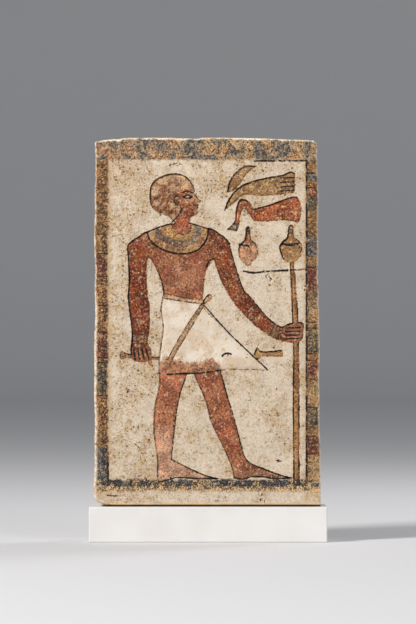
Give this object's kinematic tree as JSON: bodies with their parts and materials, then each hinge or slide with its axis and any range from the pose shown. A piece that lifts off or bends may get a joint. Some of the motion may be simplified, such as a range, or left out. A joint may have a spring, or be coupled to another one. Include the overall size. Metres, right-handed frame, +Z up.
{
  "type": "carved stone stele",
  "caption": "Upright painted limestone slab with a standing man, staff and offerings in sunk relief inside painted borders, on a low white plinth.",
  "frame": {"origin": "middle of the plinth's underside", "axes": "+Z up, -Y out of the carved face, +X to the right of someone looking at the carving"},
  "size_m": [0.357, 0.095, 0.6065],
  "materials": {
    "painted_limestone": "matt limestone with worn mineral paint",
    "plinth_white": "smooth satin white paint"
  },
  "bodies": {
    "root": {"stele": "painted_limestone", "plinth": "plinth_white"}
  },
  "joints": []
}
